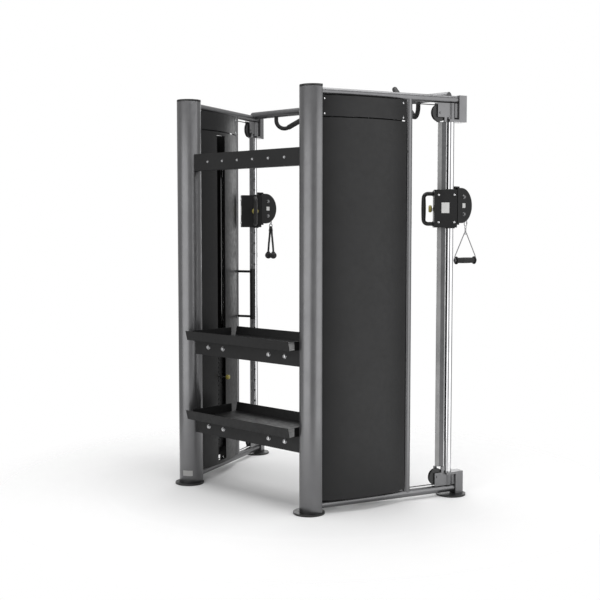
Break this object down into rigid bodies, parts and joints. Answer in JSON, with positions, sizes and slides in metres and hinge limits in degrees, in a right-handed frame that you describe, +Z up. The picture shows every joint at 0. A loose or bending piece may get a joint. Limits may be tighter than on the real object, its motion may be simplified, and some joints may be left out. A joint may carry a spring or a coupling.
{
  "type": "functional trainer",
  "caption": "Free-standing twin cable trainer with splayed towers, shrouded weight stacks, sliding swivel pulleys, a cross tube with pull-up grips and a storage rack.",
  "frame": {"origin": "centre of the bounding box's footprint, on the floor", "axes": "+Z up, +X to the right-hand tower, -Y towards the user's side where the cables are pulled, +Y the storage rack side"},
  "size_m": [1.637, 1.085, 2.205],
  "materials": {
    "frame_paint": "satin gunmetal metallic powder coat",
    "matte_black_paint": "matte textured powder coat",
    "shroud_black": "satin",
    "black_plastic": "matte",
    "rubber_grip": "matte",
    "chrome": "polished",
    "weight_iron": "matte painted",
    "cable_black": "satin",
    "yellow_knob": "satin",
    "nylon": "satin"
  },
  "bodies": {
    "frame": {"left_rear_post": "frame_paint", "right_rear_post": "frame_paint", "post_caps": "black_plastic", "base_discs": "black_plastic", "tower_rails": "frame_paint", "front_uprights": "frame_paint", "cross_tube": "frame_paint", "pull_up_handles": "rubber_grip", "grab_handles": "rubber_grip", "left_outer_shroud": "shroud_black", "right_outer_shroud": "shroud_black", "left_inner_shroud": "shroud_black", "right_inner_shroud": "shroud_black", "header_panels": "shroud_black", "rack_crossbars": "matte_black_paint", "storage_trays": "matte_black_paint", "frame_bolts": "chrome", "weight_guide_rods": "chrome", "stack_supports": "matte_black_paint", "resting_plates": "weight_iron", "column_brackets": "frame_paint", "left_guide_tube": "chrome", "right_guide_tube": "chrome", "cable_guards": "frame_paint", "left_frame_cable": "cable_black", "right_frame_cable": "cable_black", "left_lift_cable": "cable_black", "right_lift_cable": "cable_black"},
    "left_lift": {"left_lifted_plates": "weight_iron"},
    "left_selector": {"left_selector_pin": "yellow_knob"},
    "left_float_wheel": {"left_float_pulley": "nylon"},
    "left_rear_stack_wheel": {"left_rear_stack_pulley": "nylon"},
    "left_base_wheel": {"left_base_pulley": "nylon"},
    "left_bottom_wheel": {"left_bottom_pulley": "nylon"},
    "left_front_stack_wheel": {"left_front_stack_pulley": "nylon"},
    "left_top_wheel": {"left_top_pulley": "nylon"},
    "left_carriage": {"left_carriage": "matte_black_paint", "left_carriage_handle": "black_plastic"},
    "left_pin": {"left_pull_pin": "yellow_knob"},
    "left_housing": {"left_pulley_housing": "matte_black_paint"},
    "left_upper_housing_wheel": {"left_upper_housing_pulley": "nylon"},
    "left_lower_housing_wheel": {"left_lower_housing_pulley": "nylon"},
    "stirrup": {"stirrup_bail": "chrome"},
    "stirrup_grip": {"stirrup_grip": "rubber_grip"},
    "right_lift": {"right_lifted_plates": "weight_iron"},
    "right_selector": {"right_selector_pin": "yellow_knob"},
    "right_float_wheel": {"right_float_pulley": "nylon"},
    "right_rear_stack_wheel": {"right_rear_stack_pulley": "nylon"},
    "right_base_wheel": {"right_base_pulley": "nylon"},
    "right_bottom_wheel": {"right_bottom_pulley": "nylon"},
    "right_front_stack_wheel": {"right_front_stack_pulley": "nylon"},
    "right_top_wheel": {"right_top_pulley": "nylon"},
    "right_carriage": {"right_carriage": "matte_black_paint", "right_carriage_handle": "black_plastic"},
    "right_pin": {"right_pull_pin": "yellow_knob"},
    "right_housing": {"right_pulley_housing": "matte_black_paint"},
    "right_upper_housing_wheel": {"right_upper_housing_pulley": "nylon"},
    "right_lower_housing_wheel": {"right_lower_housing_pulley": "nylon"},
    "rope": {"rope_fittings": "chrome", "rope_legs": "cable_black"}
  },
  "joints": [
    {"name": "left_lift_slide", "type": "slide", "parent": "frame", "child": "left_lift", "axis": [0, 0, 1], "range_m": [0, 0.93], "deforming": ["left_lift_cable"]},
    {"name": "left_selector_slide", "type": "slide", "parent": "left_lift", "child": "left_selector", "axis": [0.9397, -0.342, 0], "range_m": [0, 0.1]},
    {"name": "left_float_spin", "type": "hinge", "parent": "left_lift", "child": "left_float_wheel", "pos_m": [-0.53938, 0.22167, 0.775], "axis": [-0.9397, 0.342, 0], "range_deg": [-1400, 1400]},
    {"name": "left_rear_stack_spin", "type": "hinge", "parent": "frame", "child": "left_rear_stack_wheel", "pos_m": [-0.50346, 0.32034, 1.89], "axis": [-0.9397, 0.342, 0], "range_deg": [-1700, 1700]},
    {"name": "left_base_spin", "type": "hinge", "parent": "frame", "child": "left_base_wheel", "pos_m": [-0.49491, 0.34383, 0.105], "axis": [-0.9397, 0.342, 0], "range_deg": [-2700, 2700]},
    {"name": "left_bottom_spin", "type": "hinge", "parent": "frame", "child": "left_bottom_wheel", "pos_m": [-0.70799, -0.2416, 0.105], "axis": [-0.9397, 0.342, 0], "range_deg": [-2700, 2700]},
    {"name": "left_front_stack_spin", "type": "hinge", "parent": "frame", "child": "left_front_stack_wheel", "pos_m": [-0.56674, 0.1465, 2], "axis": [-0.9397, 0.342, 0], "range_deg": [-1800, 1800]},
    {"name": "left_top_spin", "type": "hinge", "parent": "frame", "child": "left_top_wheel", "pos_m": [-0.70799, -0.2416, 2], "axis": [-0.9397, 0.342, 0], "range_deg": [-1800, 1800]},
    {"name": "left_carriage_slide", "type": "slide", "parent": "frame", "child": "left_carriage", "axis": [0, 0, 1], "range_m": [-1.17, 0.325]},
    {"name": "left_pull_pin_slide", "type": "slide", "parent": "left_carriage", "child": "left_pin", "axis": [0.766, 0.6428, 0], "range_m": [0, 0.012], "stiffness_N_per_m": 900},
    {"name": "left_housing_swivel", "type": "hinge", "parent": "left_carriage", "child": "left_housing", "pos_m": [-0.73262, -0.36425, 1.527], "axis": [0, 0, 1], "range_deg": [-80, 80]},
    {"name": "left_upper_housing_spin", "type": "hinge", "parent": "left_housing", "child": "left_upper_housing_wheel", "pos_m": [-0.73262, -0.41325, 1.572], "axis": [1, 0, 0], "continuous": true},
    {"name": "left_lower_housing_spin", "type": "hinge", "parent": "left_housing", "child": "left_lower_housing_wheel", "pos_m": [-0.73262, -0.41325, 1.482], "axis": [1, 0, 0], "range_deg": [-2700, 2700]},
    {"name": "stirrup_swing", "type": "hinge", "parent": "left_housing", "child": "stirrup", "pos_m": [-0.73262, -0.45325, 1.448], "axis": [1, 0, 0], "range_deg": [-80, 7]},
    {"name": "stirrup_grip_spin", "type": "hinge", "parent": "stirrup", "child": "stirrup_grip", "pos_m": [-0.73262, -0.45325, 1.238], "axis": [-0.342, -0.9397, 0], "continuous": true},
    {"name": "right_lift_slide", "type": "slide", "parent": "frame", "child": "right_lift", "axis": [0, 0, 1], "range_m": [0, 0.93], "deforming": ["right_lift_cable"]},
    {"name": "right_selector_slide", "type": "slide", "parent": "right_lift", "child": "right_selector", "axis": [-0.9397, -0.342, 0], "range_m": [0, 0.1]},
    {"name": "right_float_spin", "type": "hinge", "parent": "right_lift", "child": "right_float_wheel", "pos_m": [0.53938, 0.22167, 0.775], "axis": [0.9397, 0.342, 0], "range_deg": [-1400, 1400]},
    {"name": "right_rear_stack_spin", "type": "hinge", "parent": "frame", "child": "right_rear_stack_wheel", "pos_m": [0.50346, 0.32034, 1.89], "axis": [0.9397, 0.342, 0], "range_deg": [-1700, 1700]},
    {"name": "right_base_spin", "type": "hinge", "parent": "frame", "child": "right_base_wheel", "pos_m": [0.49491, 0.34383, 0.105], "axis": [0.9397, 0.342, 0], "range_deg": [-2700, 2700]},
    {"name": "right_bottom_spin", "type": "hinge", "parent": "frame", "child": "right_bottom_wheel", "pos_m": [0.70799, -0.2416, 0.105], "axis": [0.9397, 0.342, 0], "range_deg": [-2700, 2700]},
    {"name": "right_front_stack_spin", "type": "hinge", "parent": "frame", "child": "right_front_stack_wheel", "pos_m": [0.56674, 0.1465, 2], "axis": [0.9397, 0.342, 0], "range_deg": [-1800, 1800]},
    {"name": "right_top_spin", "type": "hinge", "parent": "frame", "child": "right_top_wheel", "pos_m": [0.70799, -0.2416, 2], "axis": [0.9397, 0.342, 0], "range_deg": [-1800, 1800]},
    {"name": "right_carriage_slide", "type": "slide", "parent": "frame", "child": "right_carriage", "axis": [0, 0, 1], "range_m": [-1.17, 0.325]},
    {"name": "right_pull_pin_slide", "type": "slide", "parent": "right_carriage", "child": "right_pin", "axis": [-0.766, 0.6428, 0], "range_m": [0, 0.012], "stiffness_N_per_m": 900},
    {"name": "right_housing_swivel", "type": "hinge", "parent": "right_carriage", "child": "right_housing", "pos_m": [0.73262, -0.36425, 1.527], "axis": [0, 0, 1], "range_deg": [-80, 80]},
    {"name": "right_upper_housing_spin", "type": "hinge", "parent": "right_housing", "child": "right_upper_housing_wheel", "pos_m": [0.73262, -0.41325, 1.572], "axis": [1, 0, 0], "continuous": true},
    {"name": "right_lower_housing_spin", "type": "hinge", "parent": "right_housing", "child": "right_lower_housing_wheel", "pos_m": [0.73262, -0.41325, 1.482], "axis": [1, 0, 0], "range_deg": [-2700, 2700]},
    {"name": "rope_swing", "type": "hinge", "parent": "right_housing", "child": "rope", "pos_m": [0.73262, -0.45325, 1.448], "axis": [1, 0, 0], "range_deg": [-80, 20]}
  ],
  "couplings": [
    {"joint": "left_float_spin", "follows": "left_lift_slide", "rad_per_m": -25},
    {"joint": "left_rear_stack_spin", "follows": "left_lift_slide", "rad_per_m": 30.769},
    {"joint": "left_base_spin", "follows": "left_lift_slide", "rad_per_m": 50},
    {"joint": "left_bottom_spin", "follows": "left_lift_slide", "rad_per_m": 50},
    {"joint": "left_front_stack_spin", "follows": "left_carriage_slide", "rad_per_m": 25},
    {"joint": "left_top_spin", "follows": "left_carriage_slide", "rad_per_m": 25},
    {"joint": "left_lower_housing_spin", "follows": "left_lift_slide", "rad_per_m": 50},
    {"joint": "right_float_spin", "follows": "right_lift_slide", "rad_per_m": 25},
    {"joint": "right_rear_stack_spin", "follows": "right_lift_slide", "rad_per_m": -30.769},
    {"joint": "right_base_spin", "follows": "right_lift_slide", "rad_per_m": -50},
    {"joint": "right_bottom_spin", "follows": "right_lift_slide", "rad_per_m": -50},
    {"joint": "right_front_stack_spin", "follows": "right_carriage_slide", "rad_per_m": -25},
    {"joint": "right_top_spin", "follows": "right_carriage_slide", "rad_per_m": -25},
    {"joint": "right_lower_housing_spin", "follows": "right_lift_slide", "rad_per_m": 50}
  ]
}
